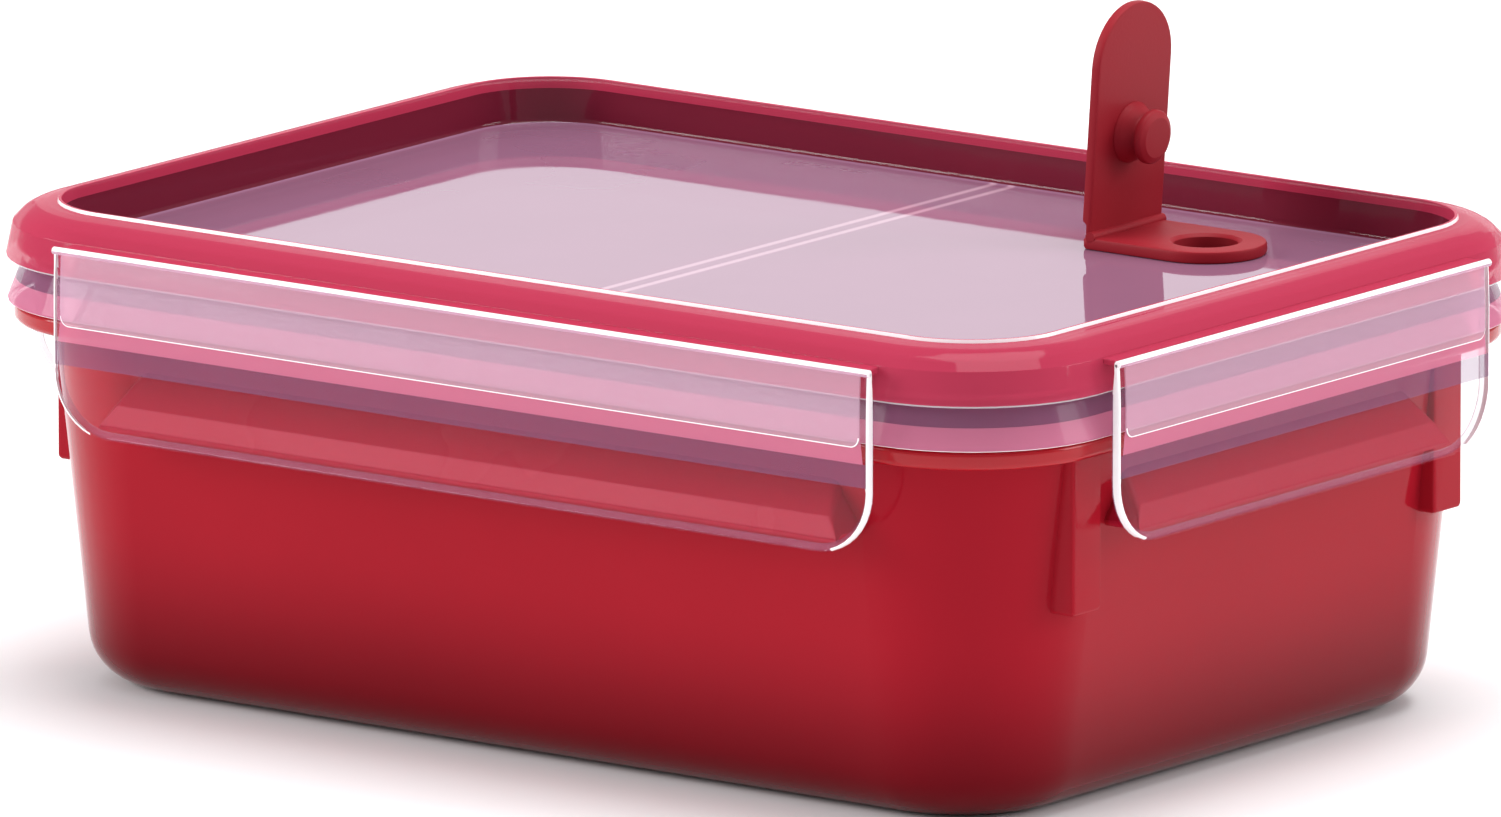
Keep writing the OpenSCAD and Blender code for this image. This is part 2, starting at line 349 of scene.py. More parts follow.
def finish(piece, body, nodes, material=None):
    """Smooth shading, a finish if one covers it all, and the piece's place in the frame."""
    if material:
        piece.data.materials.append(finish_of(material))
    deselect()
    piece.select_set(True)
    bpy.context.view_layer.objects.active = piece
    bpy.ops.object.shade_smooth_by_angle(angle=SHADE_ANGLE)
    modifier = piece.modifiers.new("Weighted normals", "WEIGHTED_NORMAL")
    modifier.keep_sharp = True
    bpy.ops.object.modifier_apply(modifier=modifier.name)
    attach(piece, body)
    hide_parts(*nodes)
    return piece


def paint(piece, choose):
    """Gives each face the finish that the choice names for its centre, in mm, and its normal."""
    slots = {}
    for face in piece.data.polygons:
        name = choose(face.center / MM, face.normal)
        if name not in slots:
            slots[name] = len(slots)
            piece.data.materials.append(finish_of(name))
        face.material_index = slots[name]


# Turns a piece modelled lying down (along X, up Y, outwards Z) to stand at the +X side
STAND = Matrix(((0, 0, 1, 0), (1, 0, 0, 0), (0, 1, 0, 0), (0, 0, 0, 1)))
SIDES = {"right": (0, False), "rear": (90, True), "left": (180, False), "front": (270, True)}


def side_matrix(side):
    """Carries a piece modelled lying down to one side of the recess."""
    turn, long = SIDES[side]
    edge = sizes().half_width if long else sizes().half_length
    return (Matrix.Rotation(math.radians(turn), 4, "Z")
            @ Matrix.Translation((edge, 0, 0)) @ STAND)


# ---- Finishes ----


def add_node(tree, kind, inputs=None, **settings):
    """Adds a node with its settings, and fills or links its inputs by name or number."""
    node = tree.nodes.new(kind)
    for key, value in settings.items():
        setattr(node, key, value)
    for key, value in (inputs or {}).items():
        if isinstance(value, bpy.types.NodeSocket):
            tree.links.new(value, node.inputs[key])
        else:
            node.inputs[key].default_value = value
    return node


def new_material(name):
    material = bpy.data.materials.new(name)
    material.use_nodes = True
    material.node_tree.nodes.clear()
    return material, material.node_tree


def tinted(colour, factor=1.0):
    return (*[min(1.0, c * factor) for c in colour], 1.0)


def noise(tree, grain, detail):
    """Noise whose grain has a size in mm."""
    coords = add_node(tree, "ShaderNodeTexCoord")
    return add_node(tree, "ShaderNodeTexNoise", {
        "Vector": coords.outputs["Object"], "Scale": 1 / (grain * MM), "Detail": detail})


def noise_bump(tree, grain, height):
    """Fine unevenness: grain is its size and height its depth, both in mm."""
    return add_node(tree, "ShaderNodeBump", {
        "Height": noise(tree, grain, 2.0).outputs["Fac"], "Distance": height * MM,
        "Strength": 1.0})


def painted_shade_at_foot(tree, tone, height):
    """Painted shade: darker colour towards the base; the height is in mm."""
    coords = add_node(tree, "ShaderNodeTexCoord")
    axes = add_node(tree, "ShaderNodeSeparateXYZ", {0: coords.outputs["Object"]})
    shade = add_node(tree, "ShaderNodeMapRange", {
        "Value": axes.outputs["Z"], "From Min": 0.0, "From Max": height * MM,
        "To Min": 0.38, "To Max": 1.0}, interpolation_type="SMOOTHSTEP")
    return add_node(tree, "ShaderNodeMix", {
        "Factor": 1.0, "A": tone.outputs["Result"], "B": shade.outputs["Result"]},
                    data_type="RGBA", blend_type="MULTIPLY")


def painted_rim_lines(tree, tone, colour):
    """Painted light: two soft pale lines along Y, where the lit rims of the inserts show through.
    """
    width = 1.1  # mm, from the middle of a line to where it has faded
    coords = add_node(tree, "ShaderNodeTexCoord")
    axes = add_node(tree, "ShaderNodeSeparateXYZ", {0: coords.outputs["Object"]})
    side = add_node(tree, "ShaderNodeMath", {0: axes.outputs["X"]}, operation="ABSOLUTE")
    off = add_node(tree, "ShaderNodeMath", {0: side.outputs["Value"], 1: INSERT_RIM_X * MM},
                   operation="SUBTRACT")
    gap = add_node(tree, "ShaderNodeMath", {0: off.outputs["Value"]}, operation="ABSOLUTE")
    share = add_node(tree, "ShaderNodeMapRange", {
        "Value": gap.outputs["Value"], "From Min": 0.2 * width * MM, "From Max": width * MM,
        "To Min": 0.5, "To Max": 0.0}, interpolation_type="SMOOTHSTEP")
    return add_node(tree, "ShaderNodeMix", {
        "Factor": share.outputs["Result"], "A": tone.outputs["Result"], "B": tinted(colour)},
                    data_type="RGBA")


def plastic(name, colour, grain, height, smooth, alpha=1.0, specular=0.5, ior=1.49, vary=0.06,
            tint=(1.0, 1.0, 1.0), line=None, foot=None):
    """Opaque or milky moulded plastic or silicone: colour, unevenness and a range of roughness."""
    material, tree = new_material(name)
    bump = noise_bump(tree, grain, height)
    cloud = noise(tree, CLOUD, 3.0)
    tone = add_node(tree, "ShaderNodeMix", {
        "Factor": cloud.outputs["Fac"], "A": tinted(colour, 1 - vary),
        "B": tinted(colour, 1 + vary)}, data_type="RGBA")
    # Painted shade: the colour darkens towards the base
    if foot:
        tone = painted_shade_at_foot(tree, tone, foot)
    # Painted light: pale lines of the inserts' rims
    if line:
        tone = painted_rim_lines(tree, tone, line)
    polish = add_node(tree, "ShaderNodeMapRange", {
        "Value": cloud.outputs["Fac"], "From Min": 0.3, "From Max": 0.7,
        "To Min": smooth[0], "To Max": smooth[1]})
    skin = add_node(tree, "ShaderNodeBsdfPrincipled", {
        "Base Color": tone.outputs["Result"], "Roughness": polish.outputs["Result"],
        "Normal": bump.outputs["Normal"], "IOR": ior, "Specular IOR Level": specular,
        "Specular Tint": tinted(tint), "Alpha": alpha})
    add_node(tree, "ShaderNodeOutputMaterial", {"Surface": skin.outputs["BSDF"]})
    return material


def clear_plastic(name, colour, haze, sheen):
    """Clear moulded plastic: haze in its mass, from 0 to 1, under a sharp gloss."""
    material, tree = new_material(name)
    normal = noise_bump(tree, 9, 0.012).outputs["Normal"]
    body = add_node(tree, "ShaderNodeBsdfPrincipled", {
        "Base Color": tinted(colour), "Roughness": 0.5, "Specular IOR Level": 0.0})
    see = add_node(tree, "ShaderNodeBsdfTransparent", {"Color": tinted((1.0, 0.985, 0.992))})
    mass = add_node(tree, "ShaderNodeMixShader", {
        0: haze, 1: see.outputs["BSDF"], 2: body.outputs["BSDF"]})
    facing = add_node(tree, "ShaderNodeLayerWeight", {"Blend": 0.5, "Normal": normal})
    # Reflection of a surface with an index of 1.49, the same from both of its sides
    steep = add_node(tree, "ShaderNodeMath", {0: facing.outputs["Facing"], 1: 5.0},
                     operation="POWER")
    share = add_node(tree, "ShaderNodeMath", {
        0: steep.outputs["Value"], 1: 0.96 * sheen, 2: 0.039 * sheen},
                     operation="MULTIPLY_ADD")
    gloss = add_node(tree, "ShaderNodeBsdfAnisotropic", {
        "Color": (1, 1, 1, 1), "Roughness": 0.04, "Normal": normal})
    top = add_node(tree, "ShaderNodeMixShader", {
        0: share.outputs["Value"], 1: mass.outputs["Shader"], 2: gloss.outputs["BSDF"]})
    add_node(tree, "ShaderNodeOutputMaterial", {"Surface": top.outputs["Shader"]})
    return material


FINISHES = {
    # Polypropylene from a polished mould: deep colour, sharp gloss, a trace of orange peel, and
    # painted shade towards the base
    "moulded_polypropylene_red": lambda name, c: plastic(
        name, c.tub, 5.0, 0.010, (0.07, 0.11), specular=0.2,
        tint=(1.0, 0.25, 0.3), foot=32),
    # The same on the ledges under the clips, with painted light: a brighter, pinker red for the
    # light through the clips; rougher, as a clip keeps it from reflecting the room
    "moulded_polypropylene_ledge": lambda name, c: plastic(
        name, c.ledge, 5.0, 0.010, (0.22, 0.3), specular=0.2,
        tint=(1.0, 0.4, 0.5)),
    # The thin edge of the flange, with a painted glow: a brighter red than the tub
    "moulded_polypropylene_flange": lambda name, c: plastic(
        name, c.flange, 5.0, 0.006, (0.1, 0.16), specular=0.35),
    # Silicone seal: even, satin
    "silicone_seal_red": lambda name, c: plastic(
        name, c.seal, 1.2, 0.010, (0.42, 0.52), specular=0.3, ior=1.42),
    # Silicone vent from a blasted mould: matte, very fine grain
    "silicone_vent_red": lambda name, c: plastic(
        name, c.vent, 0.55, 0.020, (0.52, 0.62), specular=0.25, ior=1.42),
    # Clear styrene-acrylonitrile of the clips, from a polished mould: seen through, sharp gloss
    "clear_san": lambda name, c: clear_plastic(name, c.clear, 0.02, 0.25),
    # The same on the inner faces of the lid's rim, which is thicker
    "clear_san_rim": lambda name, c: clear_plastic(name, c.clear, 0.03, 0.25),
    # The same close over the seal's top: the seal's red, painted lighter as painted light of the
    # lit seal
    "clear_san_over_seal": lambda name, c: clear_plastic(name, c.brim, 0.72, 0.3),
    # The top of the recess's wall, with painted light of the lit seal behind it
    "clear_san_brim": lambda name, c: clear_plastic(name, c.brim, 0.8, 0.3),
    # Upper panel of a clip, blasted on its inner side: milky
    "blasted_san": lambda name, c: clear_plastic(name, c.milky, 0.36, 0.5),
    # Lid panel, blasted below and polished above: milky under a sharp gloss, with painted light of
    # the inserts' rims
    "blasted_san_panel": lambda name, c: plastic(
        name, c.panel, 14.0, 0.012, (0.03, 0.05), alpha=0.85, specular=0.32,
        line=c.line),
    # Painted highlight along the lower edge of the lid's lip, thin enough to stay half clear
    "clear_san_lip": lambda name, c: clear_plastic(name, c.edge, 0.38, 1.0),
    # Wall of the recess, with painted shade for the shaded side of the seal behind it
    "clear_san_wall": lambda name, c: clear_plastic(name, c.recess, 0.5, 0.5),
    # The skirt, thin and slanted, with painted light: the pink of the lit flange seen through it
    "clear_san_skirt": lambda name, c: clear_plastic(name, c.skirt, 0.6, 0.3),
    # Clear plastic with painted shade: the shade under the lid's lip or over a ledge behind it
    "clear_san_band": lambda name, c: clear_plastic(name, c.band, 0.5, 0.3),
    # The thick hook round a clip, with painted shade: the mauve that light bent in it shows
    "clear_san_hook": lambda name, c: clear_plastic(name, c.hook, 0.3, 0.5),
    # Painted highlight: thick edges of clear plastic, painted an opaque near-white
    "clear_san_edge": lambda name, c: plastic(
        name, c.edge, 6.0, 0.006, (0.08, 0.12), vary=0.0),
    # Natural polypropylene of the inserts: translucent, satin
    "natural_polypropylene": lambda name, c: plastic(
        name, c.insert, 1.0, 0.010, (0.32, 0.42), alpha=0.9),
}


def finish_of(name):
    """The named finish, made once."""
    return bpy.data.materials.get(name) or FINISHES[name](name, colours())


# ---- Pieces ----


def wall_w(z, inset):
    """Distance of the tub's wall at a height."""
    return BASE_W - inset + math.tan(sizes().draft) * z


def from_recess(point):
    """How far a point lies outside the edge of the lid's recess, in plan."""
    radius = sizes().recess_radius / MM
    x = abs(point.x) - sizes().half_length / MM + radius
    y = abs(point.y) - sizes().half_width / MM + radius
    return math.hypot(x, y) - radius if min(x, y) > 0 else max(x, y) - radius


def base_curve(radius, low, inset):
    """Round from a flat base to the sloping wall."""
    lean = math.degrees(sizes().draft)
    z = low + radius
    w = wall_w(z, inset) - radius / math.cos(sizes().draft)
    return arc((w, z), radius, -90, -lean, 10)


class FOODBOX_OT_tub(bpy.types.Operator):
    """Model the red tub with its flange, clip ledges and stacking ribs"""

    bl_idname = "foodbox.tub"
    bl_label = "Tub"

    def execute(self, context):
        size = sizes()
        wall = size.wall / MM
        fillet = size.base_fillet / MM
        outside = [(-16.8, 0.7), (-16.2, 0.6), (-15.2, 0.1), (-14.6, 0)]
        outside += base_curve(fillet, 0, 0)
        outside += [(wall_w(FLANGE_Z[0], 0), FLANGE_Z[0])]
        rim = rounded([(wall_w(FLANGE_Z[0], 0) + 0.3, FLANGE_Z[0]), (FLANGE_W, FLANGE_Z[0], 1.2),
                       (FLANGE_W, FLANGE_Z[1], 0.9), (RIM_W[1], FLANGE_Z[1], 0.5),
                       (RIM_W[1], RIM_Z, 0.8), (RIM_W[0], RIM_Z, 0.8), (RIM_W[0], FLANGE_Z[1])])
        inside = [(RIM_W[0], FLANGE_Z[1] - 0.4)]
        inside += [(wall_w(FLANGE_Z[0], wall), FLANGE_Z[0])]
        inside += base_curve(fillet - wall, wall, wall)[::-1]
        levels = [(plan(w, size.body_radius), z) for w, z in outside]
        levels += [(plan(w, size.recess_radius), z) for w, z in rim]
        levels += [(plan(w, size.body_radius), z) for w, z in inside]
        tub = loft("tub", levels)
        extras = [place(self.ledge(side), side_matrix(side)) for side in SIDES]
        extras += [place(self.rib(sy), side_matrix(side))
                   for side in ("left", "right") for sy in (-1, 1)]
        unite(tub, extras)
        tub.data.materials.clear()

        def choose(centre, normal):
            gone = from_recess(centre)
            # Painted glow on the edge of the flange
            if gone > FLANGE_W - 2 and centre.z > FLANGE_Z[0] + 0.05:
                return "moulded_polypropylene_flange"
            rib = abs(centre.x) > size.half_length / MM and abs(centre.y) > RIB_Y[0] - 0.5
            # Painted light on the ledges: a brighter copy of the red
            if (LEDGE_Z[0] < centre.z < LEDGE_Z[3] and not rib
                    and gone > wall_w(centre.z, 0) + 0.5):
                return "moulded_polypropylene_ledge"
            return "moulded_polypropylene_red"

        paint(tub, choose)
        finish(tub, "container", ["container"])
        return {"FINISHED"}

    def ledge(self, side):
        """Ramp under a clip: longer and thinner towards its tip."""
        clips = bpy.context.scene.food_box_clips
        half = clips.long_half / MM - 8 if SIDES[side][1] else clips.short_half / MM - 8.5
        under, tip, crease, top = LEDGE_Z
        slant = 3.5

        def level(w, high, radius):
            short = slant * (high - tip) / (top - tip)
            bottom = min(radius, 1.2)
            shape = outline((-half, under), (half, high), (radius, radius, bottom, bottom))
            return [((x - math.copysign(short, x) if y > (under + high) / 2 else x, y), r)
                    for (x, y), r in shape], w

        wall = wall_w(top, 0)
        return loft("ledge", [
            level(wall - 2.5, top, 2.2), level(wall, top, 2.2), level(8.4, crease + 0.2, 1.6),
            level(8.75, crease - 0.25, 1.5), level(LEDGE_TIP_W - 0.3, tip + 0.35, 0.3),
            level(LEDGE_TIP_W, tip, 0.2)], steps=5)

    def rib(self, sy):
        """Upright bar that stops stacked tubs from jamming."""
        low, high = sorted((sy * RIB_Y[0], sy * RIB_Y[1]))

        def level(w, inset):
            return outline((low + inset, RIB_Z[0] + inset), (high - inset, RIB_Z[1]), 0.8), w

        return loft("rib", [level(-6, 0), level(4.2, 0), level(4.7, 0.15), level(5, 0.6)],
                    steps=4)


class FOODBOX_OT_seal(bpy.types.Operator):
    """Model the red silicone seal inside the lid's rim"""

    bl_idname = "foodbox.seal"
    bl_label = "Seal"

    def execute(self, context):
        section = rounded([(1.8, 80.3), (2.3, 80.8, 0.3), (4, 80.2, 2.5), (5.6, 79.1, 2.5),
                           (6.8, 77.5, 1.5), (7.3, 73.9, 0.5), (4.9, 73.9, 0.2),
                           (4.9, 72.6, 0.4), (0.95, 72.7, 0.4), (1.75, 79.6)])
        corner = sizes().recess_radius
        seal = loft("seal", [(plan(w, corner), z) for w, z in section], ring=True)
        finish(seal, "lid", ["lid_seal"], "silicone_seal_red")
        return {"FINISHED"}


class FOODBOX_OT_lid(bpy.types.Operator):
    """Model the clear lid with its milky panel, hinge webs and vent hole"""

    bl_idname = "foodbox.lid"
    bl_label = "Lid"

    def execute(self, context):
        size = sizes()
        top = size.height / MM
        panel = top - size.recess_depth / MM
        under = panel - size.lid_wall / MM
        section = rounded([
            (-6, panel), (-1, panel, 1.0), (-0.25, top - BRIM_DROP),
            (0.05, top, 0.15), (0.6, top, 0.1), (0.75, top - CREST_DROP), (2.4, top - 0.6, 2.0),
            (4.6, top - 0.95, 5.0), (6.6, top - 2.1, 4.0), (CREASE_W, top - CREASE_DROP, 0.35),
            (9.4, LIP_Z, 0.5), (6.4, LIP_Z, 0.25), (7.75, SKIRT_Z[1]),
            (9.2, SKIRT_Z[0], 0.35), (7.8, SKIRT_Z[0], 0.35), (5.15, LIP_Z - 0.2, 0.3),
            (5.15, SEAL_BED_Z, 0.2), (7.6, SEAL_BED_Z, 0.6), (7.05, 77.7, 1.2),
            (5.8, 79.3, 2.0), (4.1, 80.4, 2.0), (2.3, 81.0, 0.3), (1.65, 81.0, 0.2),
            (0.6, under, 0.3), (-6, under)])
        lid = loft("lid_shell", [(plan(w, size.recess_radius), z) for w, z in section])
        vent = bpy.context.scene.food_box_vent
        hole = loft("hole", [(circle(vent.x / MM, vent.y / MM, 7.25), z)
                             for z in (under - 1, panel + 1)])
        unite(lid, [hole], "DIFFERENCE")
        webs = [place(self.web(side), side_matrix(side)) for side in SIDES]
        lid = join([lid] + webs, "lid_shell")
        edge_x, edge_y = size.half_length / MM, size.half_width / MM

        def choose(centre, normal):
            out = max(abs(centre.x) - edge_x, abs(centre.y) - edge_y)
            if out < -0.9 and centre.z < panel + 0.3:
                return "blasted_san_panel"
            gone = from_recess(centre)
            # Painted highlights: the foot of the skirt and the crest round the recess
            foot = gone > 8.7 and centre.z < SKIRT_Z[0] + 0.2
            crest = 0.55 < gone < 0.8 and centre.z > top - CREST_DROP
            if foot or crest:
                return "clear_san_edge"
            # Painted highlight: a pale line along the lip's lower edge
            if gone > 8.9 and LIP_Z - 0.1 < centre.z < LIP_Z + 0.3:
                return "clear_san_lip"
            # Painted shade on the upper skirt under the lip, painted light of the flange on the
            # lower skirt
            if gone > 4 and centre.z < LIP_Z + 0.05:
                return "clear_san_band" if centre.z > SKIRT_Z[1] else "clear_san_skirt"
            # Painted light of the lit seal on the top of the recess's wall and over the seal's top
            if -0.3 < gone < 0.6 and centre.z > top - BRIM_DROP:
                return "clear_san_brim"
            if gone > 0.6 and normal.z > -0.1 and (centre.z > SEAL_BED_Z + 0.1 or gone > 8):
                return "clear_san_over_seal"
            # Painted shade on the wall of the recess
            if -1.3 < gone < 0 and panel < centre.z < top - BRIM_DROP:
                return "clear_san_wall"
            return "clear_san_rim"

        paint(lid, choose)
        finish(lid, "lid", ["lid"])
        return {"FINISHED"}

    def web(self, side):
        """Thin strip from the rim's crease to a clip's hinge."""
        clips = bpy.context.scene.food_box_clips
        half = (clips.long_half if SIDES[side][1] else clips.short_half) / MM - 1
        high = sizes().height / MM - CREASE_DROP - 0.15

        def level(w, z):
            return outline((-half, z - 1.15), (half, z), 0.25), w

        return loft("web", [level(CREASE_W - 0.3, high),
                            level(CLIP_W - 2 * BEAD_R - 0.2, high - 0.05)], steps=3)


class FOODBOX_OT_clips(bpy.types.Operator):
    """Model the four clear clips"""

    bl_idname = "foodbox.clips"
    bl_label = "Clips"

    def execute(self, context):
        for side in SIDES:
            clip = self.clip(SIDES[side][1])
            clip.name = clip.data.name = side + "_clip_shell"
            place(clip, side_matrix(side))
            finish(clip, side + "_clip", [side + "_clip"])
        return {"FINISHED"}

    def clip(self, long):
        """A clip lying down: a sheet with a raised milky panel and a rim that hooks inwards."""
        clips = bpy.context.scene.food_box_clips
        half = (clips.long_half if long else clips.short_half) / MM
        hinge = sizes().height / MM - CREASE_DROP - BEAD_R
        low = hinge - clips.drop / MM
        over = hinge + 4
        radius = clips.radius / MM
        rim = clips.rim / MM
        thick = clips.sheet / MM
        panel_low = sizes().height / MM - 17
        face = CLIP_W - 0.3

        def whole(inset, w):
            r = max(radius - inset, 0.3)
            return (outline((inset - half, low + inset), (half - inset, over),
                            (0.3, 0.3, r, r)), w)

        def panel(inset, w):
            side = 1.7 + inset
            return (outline((side - half, panel_low + inset), (half - side, over),
                            (0.3, 0.3, 1.8 - inset, 1.8 - inset)), w)

        clip = loft("clip", [
            panel(0.25, CLIP_W), panel(0.05, CLIP_W - 0.08), panel(0, face), whole(0.5, face),
            whole(0.15, face - 0.12), whole(0, face - 0.45), whole(0, HOOK_W + 0.4),
            whole(0.1, HOOK_W + 0.1), whole(0.35, HOOK_W), whole(rim - 0.25, HOOK_W),
            whole(rim, HOOK_W + 0.2), whole(rim + 0.1, CLIP_W - thick - 0.1),
            whole(rim + 0.4, CLIP_W - thick)], steps=10)
        deselect()
        clip.select_set(True)
        bpy.context.view_layer.objects.active = clip
        bpy.ops.object.mode_set(mode="EDIT")
        bpy.ops.mesh.select_all(action="SELECT")
        bpy.ops.mesh.bisect(plane_co=(0, hinge * MM, 0), plane_no=(0, 1, 0), clear_outer=True,
                            use_fill=True)
        # The painted shade over a ledge starts above the ledge's top and ends behind the flange
        shade = (LEDGE_Z[3] + 1.3, FLANGE_Z[0] + 0.8)
        # Below the hinge: the drop, the share of the rim's full depth, and how far the face dips
        growth = ((0, 0.0, 0.28), (1.4, 0.0, 0.2), (3.0, 0.55, 0.12), (5.0, 0.85, 0.05),
                  (7.0, 1.0, 0.0))
        for level in [hinge - drop for drop, depth, dip in growth[1:]] + list(shade):
            bpy.ops.mesh.select_all(action="SELECT")
            bpy.ops.mesh.bisect(plane_co=(0, level * MM, 0), plane_no=(0, 1, 0))
        for drop, depth, dip in growth:
            level = (hinge - drop) * MM
            # The two rings of the rim's inner face, and how far each is from the sheet
            for first, last, reach in ((-0.1, 0.15, 0.525), (0.15, 0.45, 0.25)):
                pick(clip.data, lambda v: abs(v.co.y - level) < 0.05 * MM
                     and (HOOK_W + first) * MM < v.co.z < (HOOK_W + last) * MM)
                bpy.ops.transform.translate(value=(0, 0, (1 - depth) * reach * MM))
            pick(clip.data, lambda v: abs(v.co.y - level) < 0.05 * MM
                 and v.co.z > (CLIP_W - 0.5) * MM)
            bpy.ops.transform.translate(value=(0, 0, -dip * MM))
        bpy.ops.mesh.select_all(action="SELECT")
        bpy.ops.mesh.normals_make_consistent(inside=False)
        bpy.ops.object.mode_set(mode="OBJECT")
        deselect()
        bpy.ops.mesh.primitive_cylinder_add(
            vertices=24, radius=BEAD_R * MM, depth=2 * half * MM,
            location=(0, hinge * MM, (CLIP_W - BEAD_R) * MM), rotation=(0, math.pi / 2, 0))
        bead = bpy.context.object
        bpy.ops.object.transform_apply(location=True, rotation=True, scale=True)
        bpy.ops.object.mode_set(mode="EDIT")
        bpy.ops.mesh.select_all(action="SELECT")
        bpy.ops.mesh.bevel(offset=0.12 * MM, segments=2, affect="EDGES")
        bpy.ops.object.mode_set(mode="OBJECT")
        clip = join([clip, bead], "clip")

        def choose(centre, normal):
            x, y = abs(centre.x) - half + radius, low + radius - centre.y
            margin = radius - (math.hypot(x, y) if min(x, y) > 0 else x)
            # Painted highlights: the top above the hinge, the sides of the rim and the step under
            # the milky panel
            side = margin < 0.62 and centre.z > HOOK_W + 0.3 and x > 0 and y < radius * 0.92
            step = centre.y < panel_low + 2 and 0.01 < CLIP_W - centre.z < 0.075
            if centre.y > hinge + 0.05 or side or step:
                return "clear_san_edge"
            if centre.z > CLIP_W - 0.6 and centre.y > panel_low and abs(centre.x) < half - 1.6:
                return "blasted_san"
            # Painted shade: mauve on the inner faces of the hook
            if centre.z < CLIP_W - thick - 0.05:
                return "clear_san_hook"
            # Painted shade over a ledge, and painted light of the flange just below the milky
            # panel
            if normal.z < 0.7 or not shade[0] < centre.y < panel_low:
                return "clear_san"
            return "clear_san_band" if centre.y < shade[1] else "clear_san_skirt"

        paint(clip, choose)
        return clip


class FOODBOX_OT_vent(bpy.types.Operator):
    """Model the vent's pad and its flap with the plug"""

    bl_idname = "foodbox.vent"
    bl_label = "Vent"

    def execute(self, context):
        size, vent = sizes(), context.scene.food_box_vent
        x, y, bore = vent.x / MM, vent.y / MM, vent.bore / MM
        half = vent.width / MM / 2
        panel = (size.height - size.recess_depth) / MM
        under = panel - size.lid_wall / MM
        top = panel + 2.05
        back = x - vent.reach / MM - 1.8

        def tongue(inset, z):
            r = half - inset
            return (outline((back + inset, y - r), (x + r, y + r), (r, 1.2, 1.2, r)), z)

        def ring(radius, z):
            return circle(x, y, radius), z

        pad = loft("pad", [
            ring(bore, under - 1.2), ring(bore, top - 0.55), ring(bore + 0.12, top - 0.4),
            ring(bore + 0.6, top - 0.04), ring(bore + 0.8, top), tongue(0.6, top),
            tongue(0.18, top - 0.12), tongue(0, top - 0.5), tongue(0, panel + 0.5),
            tongue(0.15, panel + 0.12), tongue(0.5, panel + 0.03), ring(7.2, panel + 0.03),
            ring(7.2, under - 0.05), ring(8.7, under - 0.05), ring(9, under - 0.3),
            ring(8.6, under - 1.0), ring(7.6, under - 1.25)], ring=True)
        finish(pad, "lid", ["vent_pad"], "silicone_vent_red")

        reach, flap_length = vent.reach / MM, vent.flap / MM
        sheet = 1.8

        def leaf(inset, z, foot=0.0):
            r = half - inset
            return (outline((foot, -r), (flap_length - inset, r), (r, 0.8, 0.8, r)), z)

        flap = loft("flap", [leaf(0.45, 0), leaf(0.1, 0.12), leaf(0, 0.45), leaf(0, 0.8),
                             leaf(0, 0.85, 1.5), leaf(0, sheet - 0.45, 2.0),
                             leaf(0.1, sheet - 0.12, 2.1), leaf(0.45, sheet, 2.4)])
        section = rounded([(5.2, 0.3), (5.2, -0.2, 0.2), (4.7, -1.0, 0.6), (3.3, -2.6, 0.8),
                           (3.3, -3.2, 0.3), (4.6, -3.7, 0.4), (4.6, -4.8, 0.7), (3.4, -5.4, 0.4),
                           (0.4, -5.4)])
        plug = loft("plug", [(circle(reach, 0, r), z) for r, z in section])
        unite(flap, [plug])
        deselect()
        bpy.ops.mesh.primitive_cylinder_add(vertices=32, radius=0.9 * MM, depth=2 * half * MM,
                                            rotation=(math.pi / 2, 0, 0))
        bead = bpy.context.object
        bpy.ops.object.transform_apply(location=True, rotation=True, scale=True)
        unite(flap, [bead])
        fold = Matrix.Translation(((x - reach) * MM, y * MM, (top + 0.1) * MM))
        place(flap, fold @ Matrix.Rotation(-vent.open, 4, "Y"))
        finish(flap, "vent_flap", ["vent_flap"], "silicone_vent_red")
        return {"FINISHED"}


class FOODBOX_OT_inserts(bpy.types.Operator):
    """Model the two milky inserts"""

    bl_idname = "foodbox.inserts"
    bl_label = "Inserts"

    def execute(self, context):
        size = sizes()
        wall, fillet = size.insert_wall / MM, size.base_fillet / MM
        tub_wall = size.wall / MM
        a, b = size.half_length / MM, size.half_width / MM
        floor = tub_wall + 0.4
        play = 0.9
        bend = FLANGE_Z[0] - 2
        top = size.height / MM - size.recess_depth / MM - size.lid_wall / MM - 0.5

        def half(w, z, depth):
            corner = size.body_radius / MM + w
            near = max(3.0 - depth, 0.6)
            return (outline((0.6 + depth, -b - w), (a + w, b + w), (corner, near, near, corner)),
                    z)

        radius = fillet - tub_wall
        outside = base_curve(radius, floor, tub_wall + play)
        outside += [(1.5, bend), (1.5, top - 0.5), (1.35, top - 0.12), (1.0, top)]
        inside = base_curve(radius - wall, floor + wall, tub_wall + play + wall)[::-1]
        inside = [(0.7, top), (0.35, top - 0.12), (0.2, top - 0.5), (0.2, bend)] + inside
        levels = [half(w, z, 0) for w, z in outside[:-2]]
        levels += [half(1.35, top - 0.12, 0.15), half(1.0, top, 0.5)]
        levels += [half(0.7, top, wall - 0.5), half(0.35, top - 0.12, wall - 0.15)]
        levels += [half(w, z, wall) for w, z in inside[2:]]
        for side, turn in (("right", 0), ("left", math.pi)):
            insert = loft(side + "_insert_tray", levels)
            place(insert, Matrix.Rotation(turn, 4, "Z"))
            finish(insert, side + "_insert", [side + "_insert"],
                   "natural_polypropylene")
        return {"FINISHED"}


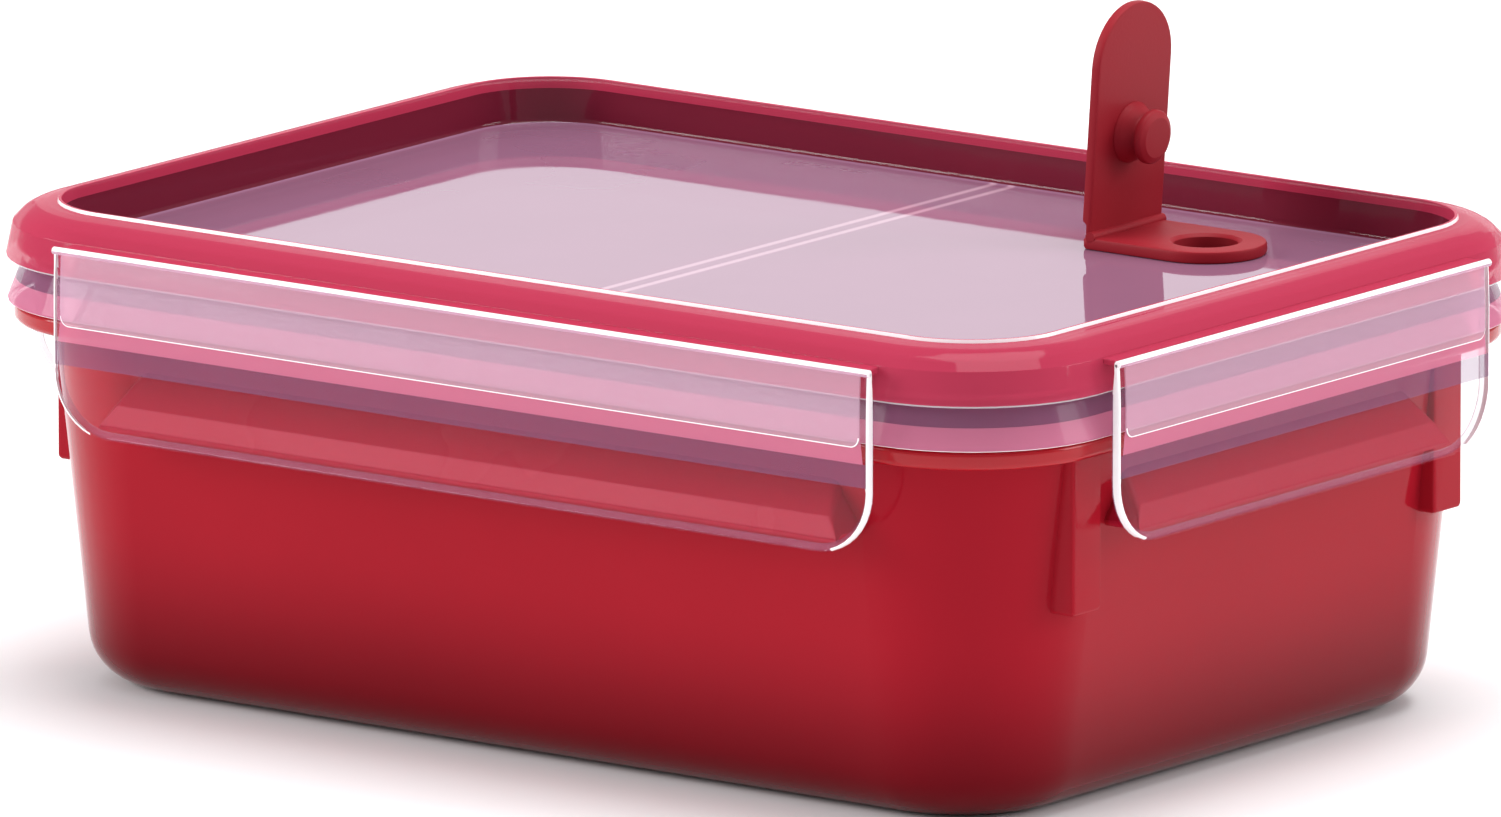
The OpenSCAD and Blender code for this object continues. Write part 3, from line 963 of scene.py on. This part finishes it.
class FOODBOX_OT_stage(bpy.types.Operator):
    """Set up the floor, the soft lights and the camera"""

    bl_idname = "foodbox.stage"
    bl_label = "Stage"

    def execute(self, context):
        scene = context.scene
        deselect()
        bpy.ops.mesh.primitive_plane_add(size=24, location=(0, 0, -0.0002))
        floor = context.object
        floor.name = floor.data.name = "studio_floor"
        material, tree = new_material("painted_floor")
        skin = add_node(tree, "ShaderNodeBsdfPrincipled", {
            "Base Color": tinted(colours().floor), "Roughness": 0.9, "Specular IOR Level": 0.1})
        add_node(tree, "ShaderNodeOutputMaterial", {"Surface": skin.outputs["BSDF"]})
        floor.data.materials.append(material)

        world = bpy.data.worlds.new("studio")
        scene.world = world
        world.use_nodes = True
        background = world.node_tree.nodes["Background"]
        background.inputs["Color"].default_value = (0.95, 0.965, 1.0, 1)
        background.inputs["Strength"].default_value = 0.5

        self.light("overhead", (0.2, 0.3, 2.4), 1.8, 50)
        self.light("left_softbox", (-1.75, -1.45, 0.9), 1.2, 36)
        self.light("right_softbox", (1.85, 1.3, 0.9), 1.2, 22)
        self.light("back_softbox", (-1.2, 2.0, 0.8), 1.4, 6)

        azimuth, elevation = math.radians(36.76), math.radians(11.83)
        towards = Vector((math.sin(azimuth) * math.cos(elevation),
                          -math.cos(azimuth) * math.cos(elevation), math.sin(elevation)))
        aim = Vector((-0.815, -0.743, 47.615)) * MM
        data = bpy.data.cameras.new("camera")
        camera = bpy.data.objects.new("camera", data)
        scene.collection.objects.link(camera)
        camera.location = aim + towards * 5.5
        camera.rotation_euler = (-towards).to_track_quat("-Z", "Y").to_euler()
        data.sensor_width = 36
        data.lens = 794.6
        data.clip_end = 100
        scene.camera = camera
        scene.view_settings.view_transform = "Standard"
        return {"FINISHED"}

    def light(self, name, location, size, power):
        """Square softbox aimed at the middle of the box."""
        data = bpy.data.lights.new(name, "AREA")
        data.shape = "SQUARE"
        data.size = size
        data.energy = power
        lamp = bpy.data.objects.new(name, data)
        bpy.context.scene.collection.objects.link(lamp)
        lamp.location = location
        aim = Vector((0, 0, 0.05)) - Vector(location)
        lamp.rotation_euler = aim.to_track_quat("-Z", "Y").to_euler()


OPERATORS = (FOODBOX_OT_tub, FOODBOX_OT_inserts, FOODBOX_OT_seal, FOODBOX_OT_lid,
             FOODBOX_OT_clips, FOODBOX_OT_vent, FOODBOX_OT_stage)


class FOODBOX_PT_panel(bpy.types.Panel):
    """Lists the pieces of the food box"""

    bl_idname = "FOODBOX_PT_panel"
    bl_label = "Food box"
    bl_space_type = "VIEW_3D"
    bl_region_type = "UI"
    bl_category = "Food box"

    def draw(self, context):
        for group in ("food_box_sizes", "food_box_clips", "food_box_vent", "food_box_colours"):
            values = getattr(context.scene, group)
            box = self.layout.box()
            for name in values.bl_rna.properties.keys():
                if name not in ("rna_type", "name"):
                    box.prop(values, name)
        for operator in OPERATORS:
            self.layout.operator(operator.bl_idname)


GROUPS = {"food_box_sizes": FoodBoxSizes, "food_box_clips": FoodBoxClips,
          "food_box_vent": FoodBoxVent, "food_box_colours": FoodBoxColours}


def register():
    for cls in (*GROUPS.values(), *OPERATORS, FOODBOX_PT_panel):
        bpy.utils.register_class(cls)
    for name, group in GROUPS.items():
        setattr(bpy.types.Scene, name, PointerProperty(type=group))


def unregister():
    for name in GROUPS:
        delattr(bpy.types.Scene, name)
    for cls in reversed((*GROUPS.values(), *OPERATORS, FOODBOX_PT_panel)):
        bpy.utils.unregister_class(cls)


def main():
    register()
    for operator in OPERATORS:
        family, name = operator.bl_idname.split(".")
        getattr(getattr(bpy.ops, family), name)()


if __name__ == "__main__":
    main()
